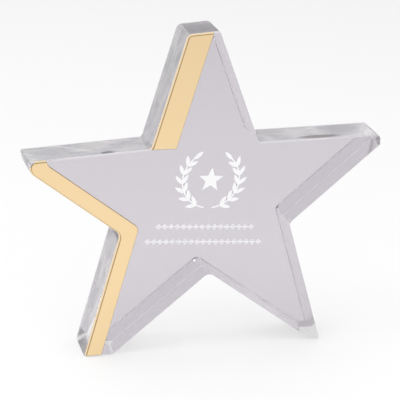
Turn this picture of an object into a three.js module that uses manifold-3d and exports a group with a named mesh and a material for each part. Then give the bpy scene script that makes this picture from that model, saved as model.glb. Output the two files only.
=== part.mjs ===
// Star award: a thick clear acrylic star that stands on its two lower points and leans back a little.
// Two gold mirror strips are bonded along the left edges of its front face, a silver mirror panel is
// bonded over its back face, and a white motif is printed in the middle of the front face.
// Millimetres, +Z up, the front looks towards -Y. The origin is under the middle of the award.
import * as THREE from "three";
import { mergeVertices } from "three/addons/utils/BufferGeometryUtils.js";
import Module from "manifold-3d";

// Driving dimensions
const BLOCK_DEPTH = 19.05; // three-quarter-inch cast acrylic
const LEAN = THREE.MathUtils.degToRad(4.5); // how far the face tips back from upright
const CHAMFER = 0.7; // polished chamfer round both faces of the block
const LAMINATE = 0.8; // thickness of the gold strips and of the silver back panel
const ADHESIVE = 0.2; // thickness of the clear adhesive under each of them
const INK = 0.2; // thickness of the printed motif
const LAYER_GAP = 0.05; // clearance between one layer and the next
const FOOT_CLEARANCE = 0.6; // the layers stop this far above the surface that the award stands on
const GOLD_TOP_WIDTH = 12.7; // top strip, square across
const GOLD_SIDE_WIDTH = 8.7; // side strip, square across
const TOP_STRIP_END = 114.6; // height on the face where the top strip is cut off level
const SHOULDER_INSET = 10.8; // from the left point to where the side strip starts to flare
const FLARE = { u: -0.55, v: 1 }; // direction in which the side strip flares up to the arm's top edge
const SHOULDER_RADIUS = 3;
const BEND_RADIUS = 4; // inner corner of the side strip, where the arm meets the leg
const ARC_STEPS = 5; // segments in each rounded corner
const OUTSIDE = 12; // how far the bands run past the star's outline before they are trimmed to it
const SAW_ALLOWANCE = 2; // the feet are drawn this far past the floor before they are sawn off
const SAW_BLOCK = 800; // side of the cube that stands for everything below a level

// Motif, drawn round the wreath's middle with x to the right and y up
const MOTIF_CENTRE = { u: 4.3, v: 96.3 }; // middle of the wreath on the face
const MOTIF_TILT = THREE.MathUtils.degToRad(-3.3); // the motif follows the star's own axis
const WREATH_RADIUS = 15.5;
const WREATH_FROM = THREE.MathUtils.degToRad(-82); // lower end of a branch
const WREATH_TO = THREE.MathUtils.degToRad(48); // upper end of a branch
const STEM_WIDTH = 0.7;
const LEAF_LENGTH = 6;
const LEAF_WIDTH = 2.1;
const LEAF_ROOT = 0.4; // how far a leaf reaches back into the stem
const LEAF_BELLY = 0.45; // where a leaf is widest, as a share of its length
const LEAF_SPLAY = 0.62; // angle between a leaf and the stem, in radians
const LEAF_PAIRS = 6;
const STAR_RADIUS = 7;
const STAR_WAIST = 0.42; // radius of the motif star's hollow corners, as a share of its points'
const RULES = [
  { name: "motif_rule_upper", y: -26.2, links: 16 },
  { name: "motif_rule_lower", y: -34.7, links: 19 },
];
const LINK_PITCH = 3.4; // from one diamond of a rule to the next
const LINK_WIDTH = 2.6;
const LINK_HEIGHT = 3.2;
const LINK_LINE = 0.42; // line weight of a rule and its diamonds

// Front outline, counter-clockwise from the top: u across the face, v up the face from the floor, and
// the corner radius. The points of the star are cut off short and its hollow corners are filleted.
const STAR = [
  { u: 4.3, v: 176.6, r: 1.5 }, // top point, right
  { u: -12.6, v: 175.2, r: 2.2 }, // top point, left
  { u: -28.7, v: 114.8, r: 2 }, // hollow corner, upper left
  { u: -93.1, v: 110.7, r: 1 }, // left point, upper
  { u: -91.3, v: 104.1, r: 5 }, // left point, lower
  { u: -43.2, v: 68.4, r: 4 }, // hollow corner, lower left
  { u: -59.6, v: 0, r: 0 }, // left foot, outer
  { u: -43.9, v: 0, r: 0 }, // left foot, inner
  { u: 6.7, v: 43.5, r: 4 }, // hollow corner between the legs
  { u: 67.4, v: 0, r: 0 }, // right foot, inner
  { u: 72.4, v: 0, r: 0 }, // right foot, outer
  { u: 49.8, v: 69.2, r: 2.5 }, // hollow corner, lower right
  { u: 97.4, v: 111.4, r: 1.4 }, // right point, lower
  { u: 97.3, v: 117.2, r: 2.8 }, // right point, upper
  { u: 29.3, v: 115.8, r: 2 }, // hollow corner, upper right
];
const [TOP_LEFT, UPPER_LEFT, LEFT_UPPER, LEFT_LOWER, LOWER_LEFT, FOOT_OUTER] = STAR.slice(1, 7);

const wasm = await Module();
wasm.setup();

// Where the line through a along d meets the line through b along e.
function crossing(a, d, b, e) {
  const t = ((b.u - a.u) * e.v - (b.v - a.v) * e.u) / (d.u * e.v - d.v * e.u);
  return { u: a.u + t * d.u, v: a.v + t * d.v };
}

function direction(a, b) {
  const length = Math.hypot(b.u - a.u, b.v - a.v);
  return { u: (b.u - a.u) / length, v: (b.v - a.v) / length };
}

// The point, moved to the left of the direction by the distance.
function shifted(point, along, distance) {
  return { u: point.u - along.v * distance, v: point.v + along.u * distance };
}

// A counter-clockwise outline, drawn in by the same distance all round.
function inset(corners, distance) {
  return corners.map((corner, i) => {
    const before = corners[(i + corners.length - 1) % corners.length];
    const after = corners[(i + 1) % corners.length];
    const into = direction(before, corner);
    const out = direction(corner, after);
    const spot = crossing(shifted(corner, into, distance), into, shifted(corner, out, distance), out);
    return { ...spot, r: corner.r };
  });
}

// A closed shape with an arc of radius r in place of each corner.
function roundedShape(corners) {
  const shape = new THREE.Shape();
  corners.forEach((corner, i) => {
    const before = direction(corner, corners[(i + corners.length - 1) % corners.length]);
    const after = direction(corner, corners[(i + 1) % corners.length]);
    const half = Math.acos(before.u * after.u + before.v * after.v) / 2;
    const reach = corner.r / Math.tan(half);
    const start = { u: corner.u + before.u * reach, v: corner.v + before.v * reach };
    const end = { u: corner.u + after.u * reach, v: corner.v + after.v * reach };
    if (!corner.r) {
      if (i === 0) shape.moveTo(corner.u, corner.v);
      else shape.lineTo(corner.u, corner.v);
      return;
    }
    const turnsLeft = before.v * after.u - before.u * after.v > 0;
    const inward = shifted(start, before, turnsLeft ? -corner.r : corner.r);
    shape.absarc(
      inward.u,
      inward.v,
      corner.r,
      Math.atan2(start.v - inward.v, start.u - inward.u),
      Math.atan2(end.v - inward.v, end.u - inward.u),
      !turnsLeft,
    );
  });
  shape.closePath();
  return shape;
}

// A plate of the shape, standing in the face plane: its front at depth y, its back at y + thickness.
function plate(shape, y, thickness, chamfer = 0) {
  const geometry = new THREE.ExtrudeGeometry(shape, {
    depth: thickness - 2 * chamfer,
    curveSegments: ARC_STEPS,
    bevelEnabled: chamfer > 0,
    bevelThickness: chamfer,
    bevelSize: chamfer,
    bevelOffset: -chamfer,
    bevelSegments: 1,
  });
  geometry.rotateX(Math.PI / 2);
  geometry.translate(0, y + thickness - chamfer, 0);
  return geometry;
}

function solid(geometry) {
  const bare = geometry.clone();
  bare.deleteAttribute("normal");
  bare.deleteAttribute("uv");
  const merged = mergeVertices(bare, 1e-4);
  return new wasm.Manifold(
    new wasm.Mesh({
      numProp: 3,
      vertProperties: merged.attributes.position.array,
      triVerts: new Uint32Array(merged.index.array),
    }),
  );
}

function geometryOf(manifold) {
  const mesh = manifold.getMesh();
  const geometry = new THREE.BufferGeometry();
  geometry.setAttribute("position", new THREE.BufferAttribute(mesh.vertProperties, 3));
  geometry.setIndex(new THREE.BufferAttribute(mesh.triVerts, 1));
  return geometry;
}

// Everything lower than the given height above the floor, seen from the leaning face's own frame.
function below(height) {
  const box = new THREE.BoxGeometry(SAW_BLOCK, SAW_BLOCK, SAW_BLOCK);
  box.translate(0, 0, height - SAW_BLOCK / 2);
  box.rotateX(LEAN);
  return solid(box);
}

// The block: its feet are drawn on past the floor along the legs' own edges and then sawn off level.
function blockGeometry() {
  const drawnOn = STAR.map((corner, i) => {
    if (corner.v !== 0) return corner;
    const before = STAR[i - 1];
    const leg = before.v === 0 ? direction(STAR[i + 1], corner) : direction(before, corner);
    return { ...crossing(corner, leg, { u: 0, v: -SAW_ALLOWANCE }, { u: 1, v: 0 }), r: 0 };
  });
  return geometryOf(solid(plate(roundedShape(drawnOn), 0, BLOCK_DEPTH, CHAMFER)).subtract(below(0)));
}

// A layer over the part of a face that lies within the band, kept inside the face's chamfered edge.
function layerGeometry(band, y, thickness) {
  const face = solid(plate(roundedShape(inset(STAR, CHAMFER)), y, thickness));
  const clear = face.subtract(below(FOOT_CLEARANCE));
  return geometryOf(band ? clear.intersect(solid(plate(roundedShape(band), y - 1, thickness + 2))) : clear);
}

// Top strip: down the left edge of the top point, cut off level at the hollow corner.
function topBand() {
  const edge = direction(TOP_LEFT, UPPER_LEFT);
  const inner = shifted(TOP_LEFT, edge, GOLD_TOP_WIDTH);
  const level = { u: 1, v: 0 };
  const end = { u: 0, v: TOP_STRIP_END };
  const top = { u: 0, v: TOP_LEFT.v + OUTSIDE };
  const outer = shifted(TOP_LEFT, edge, -OUTSIDE);
  return [
    { ...crossing(inner, edge, top, level), r: 0 },
    { ...crossing(outer, edge, top, level), r: 0 },
    { ...crossing(outer, edge, end, level), r: 0 },
    { ...crossing(inner, edge, end, level), r: 0 },
  ];
}

// Side strip: along the underside of the left point, round the hollow corner and down the left leg.
function sideBand() {
  const arm = direction(LEFT_LOWER, LOWER_LEFT);
  const leg = direction(LOWER_LEFT, FOOT_OUTER);
  const armInner = shifted(LOWER_LEFT, arm, GOLD_SIDE_WIDTH);
  const legInner = shifted(LOWER_LEFT, leg, GOLD_SIDE_WIDTH);
  const armOuter = shifted(LOWER_LEFT, arm, -OUTSIDE);
  const legOuter = shifted(LOWER_LEFT, leg, -OUTSIDE);
  const across = direction(LEFT_UPPER, LEFT_LOWER);
  const tipLine = shifted(LEFT_UPPER, across, -OUTSIDE);
  const level = { u: 1, v: 0 };
  const under = { u: 0, v: -OUTSIDE };
  const shoulder = crossing(armInner, arm, { u: LEFT_UPPER.u + SHOULDER_INSET, v: 0 }, { u: 0, v: 1 });
  return [
    { ...crossing(shoulder, FLARE, { u: 0, v: LEFT_UPPER.v + OUTSIDE }, level), r: 0 },
    { ...crossing(tipLine, across, { u: 0, v: LEFT_UPPER.v + OUTSIDE }, level), r: 0 },
    { ...crossing(armOuter, arm, tipLine, across), r: 0 },
    { ...crossing(armOuter, arm, legOuter, leg), r: 0 },
    { ...crossing(legOuter, leg, under, level), r: 0 },
    { ...crossing(legInner, leg, under, level), r: 0 },
    { ...crossing(armInner, arm, legInner, leg), r: BEND_RADIUS },
    { ...shoulder, r: SHOULDER_RADIUS },
  ];
}

function leafShape() {
  const shape = new THREE.Shape();
  shape.moveTo(-LEAF_ROOT, 0);
  shape.quadraticCurveTo(LEAF_LENGTH * LEAF_BELLY, -LEAF_WIDTH, LEAF_LENGTH, 0);
  shape.quadraticCurveTo(LEAF_LENGTH * LEAF_BELLY, LEAF_WIDTH, -LEAF_ROOT, 0);
  return shape;
}

// An upright plate of a printed shape, its front at depth y.
function printed(manifold, y) {
  const geometry = geometryOf(manifold);
  geometry.rotateX(Math.PI / 2);
  geometry.translate(0, y + INK, 0);
  return geometry;
}

function inkPlate(shape, curveSegments) {
  return new THREE.ExtrudeGeometry(shape, { depth: INK, curveSegments, bevelEnabled: false });
}

// Half a laurel wreath: a curved stem with a leaf at its tip and pairs of leaves along it.
function laurelGeometry(side, y) {
  const stem = new THREE.Shape();
  stem.absarc(0, 0, WREATH_RADIUS + STEM_WIDTH / 2, WREATH_FROM, WREATH_TO, false);
  stem.absarc(0, 0, WREATH_RADIUS - STEM_WIDTH / 2, WREATH_TO, WREATH_FROM, true);
  stem.closePath();
  let branch = solid(inkPlate(stem, 4 * ARC_STEPS));
  const firstLeaf = 0.9; // the first pair stands this share of a step up the stem
  for (let i = 0; i <= LEAF_PAIRS; i += 1) {
    const angle = WREATH_FROM + ((WREATH_TO - WREATH_FROM) * (i + firstLeaf)) / (LEAF_PAIRS + firstLeaf);
    const splays = i === LEAF_PAIRS ? [0] : [-LEAF_SPLAY, LEAF_SPLAY];
    for (const splay of splays) {
      const leaf = inkPlate(leafShape(), ARC_STEPS + 1);
      leaf.rotateZ(angle + Math.PI / 2 + splay);
      leaf.translate(WREATH_RADIUS * Math.cos(angle), WREATH_RADIUS * Math.sin(angle), 0);
      branch = branch.add(solid(leaf));
    }
  }
  return printed(side < 0 ? branch.mirror([1, 0, 0]) : branch, y);
}

function starShape() {
  const shape = new THREE.Shape();
  for (let i = 0; i < 10; i += 1) {
    const radius = i % 2 ? STAR_RADIUS * STAR_WAIST : STAR_RADIUS;
    const angle = Math.PI / 2 + (i * Math.PI) / 5;
    const x = radius * Math.cos(angle);
    const z = radius * Math.sin(angle);
    if (i === 0) shape.moveTo(x, z);
    else shape.lineTo(x, z);
  }
  shape.closePath();
  return shape;
}

function diamond(path, x, y, halfWidth, halfHeight) {
  path.moveTo(x + halfWidth, y);
  path.lineTo(x, y + halfHeight);
  path.lineTo(x - halfWidth, y);
  path.lineTo(x, y - halfHeight);
  path.closePath();
  return path;
}

// A thin line with a row of open diamonds strung along it.
function ruleGeometry(rule, y) {
  const half = (rule.links * LINK_PITCH) / 2;
  const line = new THREE.Shape();
  line.moveTo(-half, rule.y - LINK_LINE / 2);
  line.lineTo(half, rule.y - LINK_LINE / 2);
  line.lineTo(half, rule.y + LINK_LINE / 2);
  line.lineTo(-half, rule.y + LINK_LINE / 2);
  line.closePath();
  let row = solid(inkPlate(line, 1));
  for (let i = 0; i < rule.links; i += 1) {
    const x = LINK_PITCH * (i + 0.5) - half;
    const link = diamond(new THREE.Shape(), x, rule.y, LINK_WIDTH / 2, LINK_HEIGHT / 2);
    const inside = 1 - (2 * LINK_LINE) / LINK_WIDTH;
    link.holes.push(
      diamond(new THREE.Path(), x, rule.y, (inside * LINK_WIDTH) / 2, (inside * LINK_HEIGHT) / 2),
    );
    row = row.add(solid(inkPlate(link, 1)));
  }
  return printed(row, y);
}

function mesh(name, geometry, material) {
  geometry.computeVertexNormals();
  const made = new THREE.Mesh(geometry, material);
  made.name = name;
  return made;
}

const clearAcrylic = new THREE.MeshStandardMaterial({
  color: "#eef0f2",
  roughness: 0.05,
  metalness: 0,
  transparent: true,
  opacity: 0.35,
});
const goldMirror = new THREE.MeshStandardMaterial({ color: "#f1d3a1", roughness: 0.15, metalness: 1 });
const silverMirror = new THREE.MeshStandardMaterial({ color: "#d3ced6", roughness: 0.25, metalness: 1 });
const whiteInk = new THREE.MeshStandardMaterial({ color: "#f2f0f3", roughness: 0.6, metalness: 0 });
const adhesive = new THREE.MeshStandardMaterial({ color: "#f4f2ea", roughness: 0.4, metalness: 0 });

const glueFront = -LAYER_GAP - ADHESIVE;
const stripFront = glueFront - LAYER_GAP - LAMINATE;
const glueBack = BLOCK_DEPTH + LAYER_GAP;
const panelBack = glueBack + ADHESIVE + LAYER_GAP;
const motifFront = -LAYER_GAP - INK;

const motif = new THREE.Group();
motif.position.set(MOTIF_CENTRE.u, 0, MOTIF_CENTRE.v);
motif.rotation.y = -MOTIF_TILT;
motif.add(
  mesh("motif_star", plate(starShape(), motifFront, INK), whiteInk),
  mesh("motif_laurel_left", laurelGeometry(-1, motifFront), whiteInk),
  mesh("motif_laurel_right", laurelGeometry(1, motifFront), whiteInk),
  ...RULES.map((rule) => mesh(rule.name, ruleGeometry(rule, motifFront), whiteInk)),
);

const face = new THREE.Group(); // everything is built upright in this group, which then leans back
face.rotation.x = -LEAN;
face.add(
  mesh("star_block", blockGeometry(), clearAcrylic),
  mesh("top_strip_adhesive", layerGeometry(topBand(), glueFront, ADHESIVE), adhesive),
  mesh("top_strip", layerGeometry(topBand(), stripFront, LAMINATE), goldMirror),
  mesh("side_strip_adhesive", layerGeometry(sideBand(), glueFront, ADHESIVE), adhesive),
  mesh("side_strip", layerGeometry(sideBand(), stripFront, LAMINATE), goldMirror),
  mesh("back_panel_adhesive", layerGeometry(null, glueBack, ADHESIVE), adhesive),
  mesh("back_panel", layerGeometry(null, panelBack, LAMINATE), silverMirror),
  motif,
);

const award = new THREE.Group();
award.add(face);
const box = new THREE.Box3().setFromObject(face, true);
const middle = box.getCenter(new THREE.Vector3());
face.position.set(-middle.x, -middle.y, -box.min.z);

export default award;
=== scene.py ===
# Star award: a clear acrylic star that leans back on two feet, with gold mirror strips along the
# left edges of its face, a lavender silver panel bonded over its back and a printed white motif.
import math

import bmesh
import bpy
from mathutils import Matrix, Vector


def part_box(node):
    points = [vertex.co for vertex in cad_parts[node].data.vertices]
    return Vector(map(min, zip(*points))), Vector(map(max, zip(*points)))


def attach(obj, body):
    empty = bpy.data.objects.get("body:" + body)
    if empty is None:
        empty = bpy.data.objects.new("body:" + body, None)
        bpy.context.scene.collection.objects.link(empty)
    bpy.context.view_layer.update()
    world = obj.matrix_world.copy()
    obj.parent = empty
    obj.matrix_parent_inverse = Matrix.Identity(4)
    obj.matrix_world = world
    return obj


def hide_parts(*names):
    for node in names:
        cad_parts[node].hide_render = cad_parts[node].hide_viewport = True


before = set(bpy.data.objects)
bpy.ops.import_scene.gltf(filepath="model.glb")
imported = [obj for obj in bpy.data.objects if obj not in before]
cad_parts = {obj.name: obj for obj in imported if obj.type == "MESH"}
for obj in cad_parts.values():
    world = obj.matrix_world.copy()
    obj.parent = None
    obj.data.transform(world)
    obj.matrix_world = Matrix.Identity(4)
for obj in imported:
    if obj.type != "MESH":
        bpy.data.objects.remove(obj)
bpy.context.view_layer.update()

MM = 0.001

# ---------------------------------------------------------------------------------------------
# Driving dimensions, in millimetres in the face's own frame: u across, y into the block, v up it
# ---------------------------------------------------------------------------------------------
LEAN = math.radians(4.5)
BLOCK_DEPTH = 19.05
CHAMFER = 0.7  # round the face, on its upper and left edges
FINE_CHAMFER = 0.22  # round the face, on its other edges
BACK_CHAMFER = 0.06
LIP = 0.06  # how far the strips' gold stands off the block's chamfer where it wraps over it
BOND = 0.02  # the panel is sunk this far into the block, and the strips' backs stay this far off it
LAMINATE = 0.8
STACK = 0.3  # adhesive and clearances between the block and a laminate
FOOT_CLEARANCE = 0.6  # between the floor and the laminates
STRIP_BEVEL = 0.22
PANEL_BEVEL = 0.12
PANEL_INSET = BACK_CHAMFER + 0.02  # from the block's outline
PANEL_BACK = BLOCK_DEPTH + STACK + LAMINATE - 0.05  # just inside the back of the CAD panel
GOLD_TOP_WIDTH = 12.7
GOLD_SIDE_WIDTH = 8.7
TOP_STRIP_END = 114.6  # height up the face at which the top strip is cut off
SHOULDER_INSET = 10.8  # from the left point to where the side strip starts to flare
FLARE = (-0.55, 1)  # direction in which it flares up to the arm's top edge
BEND_RADIUS = 4  # inside the side strip's bend
SHOULDER_RADIUS = 3
OUTSIDE = 12.0  # how far a cutting outline is drawn past the block
BELOW_FLOOR = -2.0  # height to which the feet are drawn before they are sawn off level
KNIFE_REACH = 5  # how far a cutting solid reaches before the strip and behind the block's face
ARC_STEPS = 14
WELD = 1e-4  # points closer than this are one point
ON_PLANE = 1e-6  # points nearer than this to a sawing plane lie on it
FLAT_FACE_AREA = 400  # square millimetres; the edges of a face bigger than this stay sharp

# The outline that the CAD block has, with a rounder top left corner: u, v and corner radius,
# counter-clockwise
STAR = [
    (4.3, 176.6, 1.5),
    (-12.6, 175.2, 3.2),
    (-28.7, 114.8, 2.0),
    (-93.1, 110.7, 1.0),
    (-91.3, 104.1, 5.0),
    (-43.2, 68.4, 4.0),
    (-59.6, 0.0, 0.0),
    (-43.9, 0.0, 0.0),
    (6.7, 43.5, 4.0),
    (67.4, 0.0, 0.0),
    (72.4, 0.0, 0.0),
    (49.8, 69.2, 2.5),
    (97.4, 111.4, 1.4),
    (97.3, 117.2, 2.8),
    (29.3, 115.8, 2.0),
]
SOLE, RIGHT_ARM_TOP = 6, 13  # sides of the outline, counted by the corner that they start from
STRIP_RADIUS = 3.2  # of the side strip's corner at the left point
TOP_LEFT, UPPER_LEFT, LEFT_UPPER, LEFT_LOWER, LOWER_LEFT, FOOT_OUTER = STAR[1:7]
ARMS_END = LEFT_UPPER[1] + OUTSIDE  # height above which there is only the top point
RIGHT_MOST = 97.384  # how far right the rounded outline reaches

block_low, block_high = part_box("star_block")
ORIGIN = Vector((block_high.x - RIGHT_MOST * MM, block_low.y, 0.0))
TO_WORLD = Matrix.Translation(ORIGIN) @ Matrix.Rotation(-LEAN, 4, "X")


def at(u, y, v):
    """A point of the face's own frame, in the world, in metres."""
    return TO_WORLD @ Vector((u * MM, y * MM, v * MM))


# ---------------------------------------------------------------------------------------------
# Outlines
# ---------------------------------------------------------------------------------------------
def crossing(a, d, b, e):
    """Where the line through a along d meets the line through b along e."""
    t = ((b[0] - a[0]) * e[1] - (b[1] - a[1]) * e[0]) / (d[0] * e[1] - d[1] * e[0])
    return (a[0] + t * d[0], a[1] + t * d[1])


def direction(a, b):
    """The unit vector from a to b."""
    length = math.hypot(b[0] - a[0], b[1] - a[1])
    return ((b[0] - a[0]) / length, (b[1] - a[1]) / length)


def shifted(point, along, distance):
    """The point moved to the left of a direction."""
    return (point[0] - along[1] * distance, point[1] + along[0] * distance)


def rounded(corners, steps=ARC_STEPS):
    """The closed outline's points, with an arc in place of each corner that has a radius."""
    points = []
    for i, corner in enumerate(corners):
        if not corner[2]:
            points.append((corner[0], corner[1]))
            continue
        before = direction(corner, corners[i - 1])
        after = direction(corner, corners[(i + 1) % len(corners)])
        half = math.acos(before[0] * after[0] + before[1] * after[1]) / 2
        reach = corner[2] / math.tan(half)
        start = (corner[0] + before[0] * reach, corner[1] + before[1] * reach)
        end = (corner[0] + after[0] * reach, corner[1] + after[1] * reach)
        turns_left = before[1] * after[0] - before[0] * after[1] > 0
        middle = shifted(start, before, -corner[2] if turns_left else corner[2])
        a0 = math.atan2(start[1] - middle[1], start[0] - middle[0])
        a1 = math.atan2(end[1] - middle[1], end[0] - middle[0])
        sweep = (a1 - a0) % (2 * math.pi)
        if not turns_left:
            sweep -= 2 * math.pi
        for k in range(steps + 1):
            a = a0 + sweep * k / steps
            points.append((middle[0] + corner[2] * math.cos(a), middle[1] + corner[2] * math.sin(a)))
    return points


def chamfer_widths(corners, steps=ARC_STEPS):
    """The chamfer's width at each point that rounded() makes: wide on the upper and left sides."""
    sides = [CHAMFER if i <= SOLE or i == RIGHT_ARM_TOP else FINE_CHAMFER for i in range(len(corners))]
    widths = []
    for i, corner in enumerate(corners):
        before, after = sides[i - 1], sides[i]
        if corner[2]:
            widths += [before + (after - before) * k / steps for k in range(steps + 1)]
        else:
            widths.append(min(before, after))
    return widths


def inset_points(points, distances):
    """A counter-clockwise outline drawn in point by point, each point by its own distance."""
    made = []
    for i, point in enumerate(points):
        into = direction(points[i - 1], point)
        out = direction(point, points[(i + 1) % len(points)])
        bisector = (-(into[1] + out[1]), into[0] + out[0])
        length = math.hypot(*bisector)
        reach = 2 * distances[i] / (length * length)
        made.append((point[0] + bisector[0] * reach, point[1] + bisector[1] * reach))
    return made


# ---------------------------------------------------------------------------------------------
# Meshes
# ---------------------------------------------------------------------------------------------
def ring(points, depth, inset, widths=None):
    """The outline at a depth, drawn in by an inset; both count in chamfer widths if those are given."""
    scale = widths or [1.0] * len(points)
    drawn = inset_points(points, [inset * w for w in scale])
    return [(u, depth * w, v) for (u, v), w in zip(drawn, scale)]


def solid_from(rings):
    """A closed solid through rings of points, front to back."""
    bm = bmesh.new()
    loops = [[bm.verts.new(point) for point in points] for points in rings]
    bm.faces.new(loops[0])
    bm.faces.new(list(reversed(loops[-1])))
    for near, far in zip(loops, loops[1:]):
        for i in range(len(near)):
            j = (i + 1) % len(near)
            bm.faces.new((near[j], near[i], far[i], far[j]))
    bm.normal_update()
    return bm


def plate_mesh(points, profile):
    """A closed plate: one ring of the outline for each (depth, inset) of the profile."""
    return solid_from([ring(points, depth, inset) for depth, inset in profile])


def cut_below(bm, height):
    """Saws the mesh off level at a height above the floor and closes it."""
    normal = Vector((0, math.sin(LEAN), -math.cos(LEAN)))
    point = Vector((0, 0, height / math.cos(LEAN)))
    cut = bmesh.ops.bisect_plane(
        bm,
        geom=bm.verts[:] + bm.edges[:] + bm.faces[:],
        dist=ON_PLANE,
        plane_co=point,
        plane_no=normal,
        clear_outer=True,
    )
    edges = [g for g in cut["geom_cut"] if isinstance(g, bmesh.types.BMEdge)]
    bmesh.ops.holes_fill(bm, edges=edges, sides=0)
    bm.normal_update()


def solid_object(name, bm):
    """A new object that holds the mesh."""
    data = bpy.data.meshes.new(name)
    bm.to_mesh(data)
    bm.free()
    made = bpy.data.objects.new(name, data)
    bpy.context.scene.collection.objects.link(made)
    return made


def baked(obj):
    """The object's mesh with its modifiers applied, as a bmesh; the object is deleted."""
    bpy.context.view_layer.update()
    depsgraph = bpy.context.evaluated_depsgraph_get()
    bm = bmesh.new()
    bm.from_mesh(obj.evaluated_get(depsgraph).to_mesh())
    bpy.data.objects.remove(obj)
    return bm


def finish_mesh(name, bm, smooth_angle=math.radians(30)):
    """Turns the millimetre mesh in the face frame into an object in the world."""
    bm.normal_update()
    for face in bm.faces:
        face.smooth = True
    for edge in bm.edges:
        flat = any(f.calc_area() > FLAT_FACE_AREA for f in edge.link_faces)
        edge.smooth = not flat and len(edge.link_faces) == 2 and edge.calc_face_angle() < smooth_angle
    bm.transform(TO_WORLD @ Matrix.Scale(MM, 4))
    return solid_object(name, bm)


# ---------------------------------------------------------------------------------------------
# Materials
# ---------------------------------------------------------------------------------------------
ACRYLIC_IOR = 1.49


def material(name):
    """A new node material, its node tree and its Principled shader."""
    made = bpy.data.materials.new(name)
    made.use_nodes = True
    tree = made.node_tree
    shader = tree.nodes["Principled BSDF"]
    return made, tree, shader


def node(tree, kind, **values):
    """A new node, with each value set on the input of that name or else on the node itself."""
    made = tree.nodes.new(kind)
    for key, value in values.items():
        if key in made.inputs:
            made.inputs[key].default_value = value
        else:
            setattr(made, key, value)
    return made


def noise(tree, scale, detail=3.0, stretch=(1, 1, 1), turn=(0, 0, 0), swirl=0.0):
    """Noise over the object's own coordinates, in metres."""
    coords = node(tree, "ShaderNodeTexCoord")
    mapping = node(tree, "ShaderNodeMapping")
    mapping.inputs["Scale"].default_value = stretch
    mapping.inputs["Rotation"].default_value = turn
    texture = node(tree, "ShaderNodeTexNoise", Scale=scale, Detail=detail, Distortion=swirl)
    tree.links.new(coords.outputs["Object"], mapping.inputs["Vector"])
    tree.links.new(mapping.outputs["Vector"], texture.inputs["Vector"])
    return texture.outputs["Fac"]


def ramp(tree, fac, low, high, start=0.3, end=0.7):
    """The value spread from low to high while it goes from start to end."""
    made = node(tree, "ShaderNodeMapRange")
    made.inputs["From Min"].default_value = start
    made.inputs["From Max"].default_value = end
    made.inputs["To Min"].default_value = low
    made.inputs["To Max"].default_value = high
    tree.links.new(fac, made.inputs["Value"])
    return made.outputs["Result"]


def blend(tree, fac, first, second):
    """A mix of two colours; the first may be the output of another node."""
    made = node(tree, "ShaderNodeMix", data_type="RGBA")
    tree.links.new(fac, made.inputs["Factor"])
    if isinstance(first, tuple):
        made.inputs[6].default_value = (*first, 1)
    else:
        tree.links.new(first, made.inputs[6])
    made.inputs[7].default_value = (*second, 1)
    return made.outputs[2]


def spot(tree, centre, reach, edge):
    """1 inside an ellipsoid of that centre and reach, 0 outside it, fading over the edge's share."""
    mapping = node(tree, "ShaderNodeMapping", vector_type="TEXTURE")
    mapping.inputs["Location"].default_value = centre
    mapping.inputs["Scale"].default_value = [r * MM for r in reach]
    tree.links.new(node(tree, "ShaderNodeTexCoord").outputs["Object"], mapping.inputs["Vector"])
    length = node(tree, "ShaderNodeVectorMath", operation="LENGTH")
    tree.links.new(mapping.outputs["Vector"], length.inputs[0])
    return ramp(tree, length.outputs["Value"], 1.0, 0.0, 1.0 - edge, 1.0)


def bump(tree, fac, distance, strength):
    """A normal that follows the value as relief, its height given in metres."""
    made = node(tree, "ShaderNodeBump", Strength=strength, Distance=distance)
    tree.links.new(fac, made.inputs["Height"])
    return made.outputs["Normal"]


def acrylic_face():
    made, tree, shader = material("clear_acrylic_face")
    shader.inputs["Transmission Weight"].default_value = 1.0
    shader.inputs["IOR"].default_value = ACRYLIC_IOR
    shader.inputs["Base Color"].default_value = (0.99, 0.988, 0.992, 1)
    tree.links.new(ramp(tree, noise(tree, 90), 0.0, 0.02), shader.inputs["Roughness"])
    return made


def acrylic_wall(name, clarity, low, high, streak_scale, turn, ripple_strength=0.09, painted_reflections=()):
    """A flame-polished wall with cloudy streaks; its low and high colours, set by the way it faces, are
    painted shade.
    """
    made, tree, shader = material(name)
    shader.inputs["Transmission Weight"].default_value = clarity
    shader.inputs["IOR"].default_value = ACRYLIC_IOR
    streaks = noise(tree, streak_scale, 4.0, (1.0, 2.2, 0.8), turn, 0.9)
    colour = blend(tree, ramp(tree, streaks, 0.0, 1.0, 0.40, 0.58), low, high)
    swirls = node(tree, "ShaderNodeMath", operation="PINGPONG")
    swirls.inputs[1].default_value = 0.06
    tree.links.new(noise(tree, 0.6 * streak_scale, 1.0, (1.0, 1.6, 0.7), turn, 1.6), swirls.inputs[0])
    colour = blend(tree, ramp(tree, swirls.outputs[0], 0.8, 0.0, 0.0, 0.012), colour, (1.0, 1.0, 1.0))
    # Painted reflections: each patch pulls the wall's colour to its tint, dark ones painted shade, pale
    # ones painted highlight
    for centre, reach, edge, tint in painted_reflections:
        colour = blend(tree, spot(tree, centre, reach, edge), colour, tint)
    tree.links.new(colour, shader.inputs["Base Color"])
    tree.links.new(ramp(tree, noise(tree, 70), 0.02, 0.09), shader.inputs["Roughness"])
    ripple = noise(tree, 38, 2.0, (1.0, 0.5, 1.0))
    tree.links.new(bump(tree, ripple, 0.003, ripple_strength), shader.inputs["Normal"])
    return made


def acrylic_chamfer():
    """The chamfer round the face, rougher than the polished surfaces."""
    made, tree, shader = material("clear_acrylic_chamfer")
    shader.inputs["Transmission Weight"].default_value = 0.8
    shader.inputs["IOR"].default_value = ACRYLIC_IOR
    colour = blend(tree, noise(tree, 120), (0.97, 0.965, 0.975), (1.0, 0.995, 1.0))
    tree.links.new(colour, shader.inputs["Base Color"])
    tree.links.new(ramp(tree, noise(tree, 160), 0.12, 0.2), shader.inputs["Roughness"])
    return made


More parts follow.
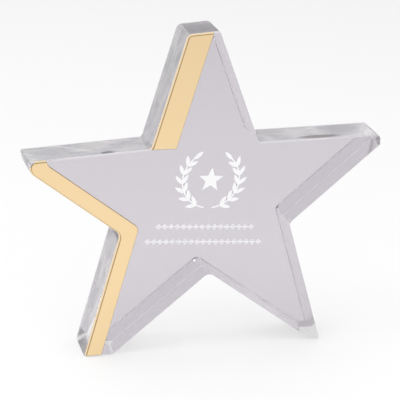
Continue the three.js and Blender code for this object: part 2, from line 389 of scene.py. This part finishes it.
def silver_panel():
    made, tree, shader = material("lavender_silver")
    shader.inputs["Metallic"].default_value = 1.0
    colour = blend(tree, noise(tree, 14), (0.668, 0.636, 0.676), (0.65, 0.621, 0.66))
    tree.links.new(colour, shader.inputs["Base Color"])
    tree.links.new(ramp(tree, noise(tree, 160), 0.05, 0.09), shader.inputs["Roughness"])
    return made


def gold_mirror():
    made, tree, shader = material("gold_mirror")
    shader.inputs["Metallic"].default_value = 1.0
    colour = blend(tree, noise(tree, 22), (0.92, 0.70, 0.41), (0.90, 0.685, 0.40))
    tree.links.new(colour, shader.inputs["Base Color"])
    tree.links.new(ramp(tree, noise(tree, 120), 0.08, 0.13), shader.inputs["Roughness"])
    return made


def gold_edge():
    made, tree, shader = material("gold_cut_edge")
    shader.inputs["Metallic"].default_value = 0.6
    colour = blend(tree, noise(tree, 400), (0.30, 0.20, 0.09), (0.42, 0.29, 0.13))
    tree.links.new(colour, shader.inputs["Base Color"])
    tree.links.new(ramp(tree, noise(tree, 300), 0.35, 0.5), shader.inputs["Roughness"])
    return made


def clear_adhesive():
    made, tree, shader = material("clear_adhesive")
    shader.inputs["Transmission Weight"].default_value = 0.9
    shader.inputs["IOR"].default_value = 1.47
    colour = blend(tree, noise(tree, 60), (0.95, 0.94, 0.92), (0.90, 0.89, 0.86))
    tree.links.new(colour, shader.inputs["Base Color"])
    tree.links.new(ramp(tree, noise(tree, 200), 0.1, 0.25), shader.inputs["Roughness"])
    return made


def white_ink():
    made, tree, shader = material("white_ink")
    colour = blend(tree, noise(tree, 250), (0.93, 0.93, 0.94), (0.98, 0.98, 0.985))
    tree.links.new(colour, shader.inputs["Base Color"])
    tree.links.new(ramp(tree, noise(tree, 500), 0.5, 0.65), shader.inputs["Roughness"])
    tree.links.new(bump(tree, noise(tree, 900), 0.0001, 0.3), shader.inputs["Normal"])
    return made


FACE_CLEAR = acrylic_face()
# Painted reflections in the arms' top walls, lens-shaped dark patches of painted shade and pale painted
# highlights: centre, reach in millimetres, share of the reach over which it fades, colour
TOP_WALL_PAINTED_REFLECTIONS = (
    (at(52, 12, 116.3), (14, 11, 8), 0.9, (1.0, 1.0, 0.97)),
    (at(41, 5, 116), (4, 4, 8), 0.9, (0.84, 0.84, 0.9)),
    (at(80, 12, 117), (16, 14, 6), 0.6, (0.60, 0.59, 0.62)),
    (at(64, 3.1, 116.6), (14, 2.7, 6), 0.35, (0.24, 0.22, 0.21)),
    (at(-51.5, 1.9, 113.4), (4.4, 2.0, 4), 0.4, (0.22, 0.22, 0.28)),
    (at(-78, 9, 111.7), (12, 12, 6), 0.9, (0.80, 0.80, 0.83)),
    (at(-56, 12, 113), (10, 9, 6), 0.9, (1.0, 1.0, 0.96)),
)
# Lit and shaded copies of one acrylic: walls facing up, down, left on the legs and at the tip get their
# own colours and clarity, painted light and shade
UPPER_CLEAR = acrylic_wall(
    "clear_acrylic_upper_wall",
    0.66,
    (0.76, 0.76, 0.80),
    (1.0, 1.0, 0.985),
    75,
    (0.4, 0.5, 0.7),
    painted_reflections=TOP_WALL_PAINTED_REFLECTIONS,
)
TIP_CLEAR = acrylic_wall(
    "clear_acrylic_tip", 0.80, (0.93, 0.93, 0.96), (1.0, 0.99, 1.0), 30, (0.3, 0.2, 0.9)
)
LEG_CLEAR = acrylic_wall(
    "clear_acrylic_leg_wall", 0.82, (0.66, 0.66, 0.68), (1.0, 1.0, 0.96), 70, (0.6, 0.3, 0.2)
)
LOWER_CLEAR = acrylic_wall(
    "clear_acrylic_lower_wall", 0.92, (0.96, 0.95, 0.965), (1.0, 0.99, 1.0), 20, (0.2, -0.6, 0.3), 0.015
)
CHAMFER_CLEAR = acrylic_chamfer()
BLOCK_MATERIALS = (FACE_CLEAR, UPPER_CLEAR, LOWER_CLEAR, CHAMFER_CLEAR, TIP_CLEAR, LEG_CLEAR)
SILVER = silver_panel()
GOLD = gold_mirror()
GOLD_EDGE = gold_edge()
GLUE = clear_adhesive()
INK = white_ink()


# ---------------------------------------------------------------------------------------------
# Pieces
# ---------------------------------------------------------------------------------------------
def piece(made, slot, nodes, *materials):
    """Gives the object its materials, hangs it on the root body and hides the CAD nodes that it
    replaces; the slot is not used.
    """
    for m in materials:
        made.data.materials.append(m)
    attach(made, "root")
    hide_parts(*nodes)
    return made


def star_corners():
    """The outline's corners, with the feet drawn on past the floor along the legs' own edges."""
    corners = []
    for i, corner in enumerate(STAR):
        if corner[1] != 0:
            corners.append(corner)
            continue
        before = STAR[i - 1]
        leg = direction(STAR[i + 1], corner) if before[1] == 0 else direction(before, corner)
        corners.append((*crossing(corner, leg, (0, BELOW_FLOOR), (1, 0)), 0))
    return corners


def strip_outline():
    """The face's outline, with the corner at the left point rounded further."""
    corners = star_corners()
    for i, corner in enumerate(corners):
        if STAR[i] is LEFT_UPPER:
            corners[i] = (corner[0], corner[1], STRIP_RADIUS)
    return rounded(corners)


def wall_material_by_facing(face):
    """The place, in the block's list of materials, of a face's material: walls get their colours by the
    way they face, as painted light and shade.
    """
    n, height = face.normal, face.calc_center_median().z
    front_or_back, slanted = abs(n.y) > 0.95, abs(n.y) > 0.2
    level, looks_up, looks_left = n.z > 0.95, n.z > 0.4, n.x < -0.5
    if front_or_back:
        return BLOCK_MATERIALS.index(FACE_CLEAR)
    if slanted:
        return BLOCK_MATERIALS.index(CHAMFER_CLEAR)
    if level and height > ARMS_END:
        return BLOCK_MATERIALS.index(TIP_CLEAR)
    if looks_left and height < LOWER_LEFT[1]:
        return BLOCK_MATERIALS.index(LEG_CLEAR)
    return BLOCK_MATERIALS.index(UPPER_CLEAR if looks_up or looks_left else LOWER_CLEAR)


def make_block():
    soft = 0.09  # how far the chamfer's two rims are rounded, as a share of its width
    corners = star_corners()
    points, widths = rounded(corners), chamfer_widths(corners)
    bm = solid_from(
        [
            ring(points, 0.0, 1 + soft, widths),
            ring(points, soft, 1 - soft, widths),
            ring(points, 1 - soft, soft, widths),
            ring(points, 1 + soft, 0.0, widths),
            ring(points, BLOCK_DEPTH - BACK_CHAMFER, 0.0),
            ring(points, BLOCK_DEPTH, BACK_CHAMFER),
        ]
    )
    cut_below(bm, 0.0)
    for face in bm.faces:
        face.material_index = wall_material_by_facing(face)
    made = finish_mesh("star_block_clear", bm)
    return piece(made, "clear_acrylic", ["star_block"], *BLOCK_MATERIALS)


def make_panel():
    shoulder = 0.3 * PANEL_BEVEL  # rounds the bevel a little
    profile = [
        (BLOCK_DEPTH - BOND, 0.0),
        (PANEL_BACK - PANEL_BEVEL, 0.0),
        (PANEL_BACK - shoulder, shoulder),
        (PANEL_BACK, PANEL_BEVEL),
    ]
    outline = rounded(star_corners())
    bm = plate_mesh(inset_points(outline, [PANEL_INSET] * len(outline)), profile)
    cut_below(bm, FOOT_CLEARANCE)
    return piece(finish_mesh("back_panel_silver", bm), "silver_mirror", ["back_panel"], SILVER)


def top_band():
    """The stretch of the face that the top strip covers, drawn past the block on its outer side."""
    edge = direction(TOP_LEFT, UPPER_LEFT)
    inner = shifted(TOP_LEFT, edge, GOLD_TOP_WIDTH)
    outer = shifted(TOP_LEFT, edge, -OUTSIDE)
    top, end, level = (0, TOP_LEFT[1] + OUTSIDE), (0, TOP_STRIP_END), (1, 0)
    return [
        (*crossing(inner, edge, top, level), 0),
        (*crossing(outer, edge, top, level), 0),
        (*crossing(outer, edge, end, level), 0),
        (*crossing(inner, edge, end, level), 0),
    ]


def side_band():
    """The stretch that the side strip covers: across the left point, under its arm, down the leg."""
    arm, leg = direction(LEFT_LOWER, LOWER_LEFT), direction(LOWER_LEFT, FOOT_OUTER)
    arm_inner = shifted(LOWER_LEFT, arm, GOLD_SIDE_WIDTH)
    leg_inner = shifted(LOWER_LEFT, leg, GOLD_SIDE_WIDTH)
    arm_outer = shifted(LOWER_LEFT, arm, -OUTSIDE)
    leg_outer = shifted(LOWER_LEFT, leg, -OUTSIDE)
    across = direction(LEFT_UPPER, LEFT_LOWER)
    tip = shifted(LEFT_UPPER, across, -OUTSIDE)
    over, under, level = (0, ARMS_END), (0, -OUTSIDE), (1, 0)
    shoulder = crossing(arm_inner, arm, (LEFT_UPPER[0] + SHOULDER_INSET, 0), (0, 1))
    return [
        (*crossing(shoulder, FLARE, over, level), 0),
        (*crossing(tip, across, over, level), 0),
        (*crossing(arm_outer, arm, tip, across), 0),
        (*crossing(arm_outer, arm, leg_outer, leg), 0),
        (*crossing(leg_outer, leg, under, level), 0),
        (*crossing(leg_inner, leg, under, level), 0),
        (*crossing(arm_inner, arm, leg_inner, leg), BEND_RADIUS),
        (*shoulder, SHOULDER_RADIUS),
    ]


def make_strip(name, band, node_name):
    """The part of the face within the band, as a laminate with a small bevel round its front.

    A thin lip of it wraps over the block's chamfer, and its back stays just clear of the block's face.
    """
    front = -STACK - LAMINATE
    lip_reach = 0.7 * CHAMFER
    lip_end = lip_reach + 0.5 * LIP
    profile = [
        (front, CHAMFER),
        (-LIP, CHAMFER),
        (lip_reach, CHAMFER - lip_reach - LIP),
        (lip_end, CHAMFER - lip_end),
        (-BOND, CHAMFER + BOND),
    ]
    sheet = plate_mesh(strip_outline(), profile)
    cut_below(sheet, FOOT_CLEARANCE)
    body = solid_object(name + "_body", sheet)
    through = [(front - KNIFE_REACH, 0), (KNIFE_REACH, 0)]
    knife = solid_object(name + "_knife", plate_mesh(rounded(band), through))
    trim = body.modifiers.new("trim", "BOOLEAN")
    trim.operation, trim.solver, trim.object = "INTERSECT", "EXACT", knife
    bm = baked(body)
    bpy.data.objects.remove(knife)
    bmesh.ops.remove_doubles(bm, verts=bm.verts, dist=WELD)
    bmesh.ops.dissolve_limit(bm, angle_limit=math.radians(0.5), verts=bm.verts, edges=bm.edges)
    rim = [
        edge
        for edge in bm.edges
        if all(abs(v.co.y - front) < WELD for v in edge.verts) and edge.calc_face_angle(0) > 0.5
    ]
    bmesh.ops.bevel(bm, geom=rim, offset=STRIP_BEVEL, segments=1, profile=0.5, affect="EDGES")
    bm.normal_update()
    for face in bm.faces:
        flat = abs(face.normal.y) > 0.999
        on_lip = face.normal.y < -0.3 and face.calc_center_median().y > -2 * LIP
        face.material_index = 0 if flat or on_lip else 1
    return piece(finish_mesh(name, bm), "gold_mirror", [node_name], GOLD, GOLD_EDGE)


def dress(names, finish):
    """Gives CAD nodes that are shown as they are a finer material."""
    for name in names:
        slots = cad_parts[name].data.materials
        for i in range(len(slots)):
            slots[i] = finish


def hide_reflection(obj):
    """Keeps the panel from showing a second picture of something that lies on the block's face."""
    obj.visible_glossy = False
    obj.visible_transmission = False


STRIP_ADHESIVES = ["top_strip_adhesive", "side_strip_adhesive"]
MOTIF = ["motif_star", "motif_laurel_left", "motif_laurel_right", "motif_rule_upper", "motif_rule_lower"]

make_block()
make_panel()
hide_reflection(make_strip("top_strip_gold", top_band(), "top_strip"))
hide_reflection(make_strip("side_strip_gold", side_band(), "side_strip"))
for name in STRIP_ADHESIVES + MOTIF:
    hide_reflection(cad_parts[name])
dress(STRIP_ADHESIVES + ["back_panel_adhesive"], GLUE)
dress(MOTIF, INK)


# ---------------------------------------------------------------------------------------------
# Floor, light and camera
# ---------------------------------------------------------------------------------------------
FLOOR_SIZE = 12  # in metres, as are the next two
GLOW_SETBACK = 0.15  # how far in front of the award's middle the floor glows most
GLOW_REACH = 0.7  # from there, towards the front and the back, to where the glow is weakest
GLOW = (0.525, 0.415)  # strength at the strongest and at the weakest
LENS = 180.49  # in millimetres, as is the next
SENSOR = 36.0


def make_floor():
    """White paper that gives off some light, most of it just in front of the award."""
    made, tree, shader = material("floor_paper")
    colour = blend(tree, noise(tree, 3), (0.42, 0.42, 0.421), (0.43, 0.43, 0.431))
    tree.links.new(colour, shader.inputs["Base Color"])
    place = node(tree, "ShaderNodeSeparateXYZ")
    tree.links.new(node(tree, "ShaderNodeTexCoord").outputs["Object"], place.inputs[0])
    away = node(tree, "ShaderNodeMath", operation="ADD")
    away.inputs[1].default_value = GLOW_SETBACK
    tree.links.new(place.outputs["Y"], away.inputs[0])
    distance = node(tree, "ShaderNodeMath", operation="ABSOLUTE")
    tree.links.new(away.outputs[0], distance.inputs[0])
    glow = ramp(tree, distance.outputs[0], *GLOW, 0.0, GLOW_REACH)
    shader.inputs["Emission Color"].default_value = (1, 1, 1, 1)
    tree.links.new(glow, shader.inputs["Emission Strength"])
    shader.inputs["Roughness"].default_value = 0.8
    shader.inputs["Specular IOR Level"].default_value = 0.1
    bpy.ops.mesh.primitive_grid_add(x_subdivisions=8, y_subdivisions=8, size=FLOOR_SIZE)
    floor = bpy.context.object
    floor.name = "floor"
    floor.data.materials.append(made)


def make_world():
    """A white studio, a little darker behind the camera."""
    world = bpy.data.worlds.new("studio")
    bpy.context.scene.world = world
    world.use_nodes = True
    tree = world.node_tree
    back = tree.nodes["Background"]
    back.inputs["Strength"].default_value = 1.03
    coords = node(tree, "ShaderNodeTexCoord")
    dot = node(tree, "ShaderNodeVectorMath", operation="DOT_PRODUCT")
    dot.inputs[1].default_value = Vector((-0.25, -0.88, 0.40)).normalized()
    tree.links.new(coords.outputs["Generated"], dot.inputs[0])
    fac = ramp(tree, dot.outputs["Value"], 0.0, 1.0, 0.55, 0.95)
    colour = blend(tree, fac, (1.0, 1.0, 1.0), (0.87, 0.87, 0.88))
    tree.links.new(colour, back.inputs["Color"])


def make_light(name, place, target, size, power):
    """A round area light, pointed at its target."""
    data = bpy.data.lights.new(name, "AREA")
    data.shape = "DISK"
    data.size = size
    data.energy = power
    made = bpy.data.objects.new(name, data)
    made.location = place
    made.rotation_euler = (Vector(target) - Vector(place)).to_track_quat("-Z", "Y").to_euler()
    bpy.context.scene.collection.objects.link(made)


def make_camera():
    """Face frame, millimetres and degrees: where the optical axis meets the face, and from where."""
    aim, distance = (-0.95, 0.0, 85.31), 1044.08
    yaw, pitch, roll = math.radians(18.08), math.radians(21.09), math.radians(3.62)
    forward = Vector(
        (math.sin(yaw) * math.cos(pitch), math.cos(yaw) * math.cos(pitch), -math.sin(pitch))
    )
    right = forward.cross(Vector((0, 0, 1))).normalized()
    up = right.cross(forward)
    right, up = (
        right * math.cos(roll) + up * math.sin(roll),
        up * math.cos(roll) - right * math.sin(roll),
    )
    turn = TO_WORLD.to_3x3()
    rotation = Matrix((turn @ right, turn @ up, turn @ -forward)).transposed()
    centre = Vector(aim) - forward * distance
    data = bpy.data.cameras.new("camera")
    data.lens = LENS
    data.sensor_width = SENSOR
    data.clip_start = 0.01
    data.clip_end = 50.0
    camera = bpy.data.objects.new("camera", data)
    camera.matrix_world = Matrix.Translation(at(*centre)) @ rotation.to_4x4()
    bpy.context.scene.collection.objects.link(camera)
    bpy.context.scene.camera = camera


make_floor()
make_world()
make_light("softbox_left", (-0.6, 0.0, 1.1), (0, 0, 0.05), 0.7, 4.0)
make_camera()

scene = bpy.context.scene
scene.view_settings.view_transform = "Standard"
scene.cycles.max_bounces = 40
scene.cycles.glossy_bounces = 32
scene.cycles.transmission_bounces = 40
scene.cycles.diffuse_bounces = 6
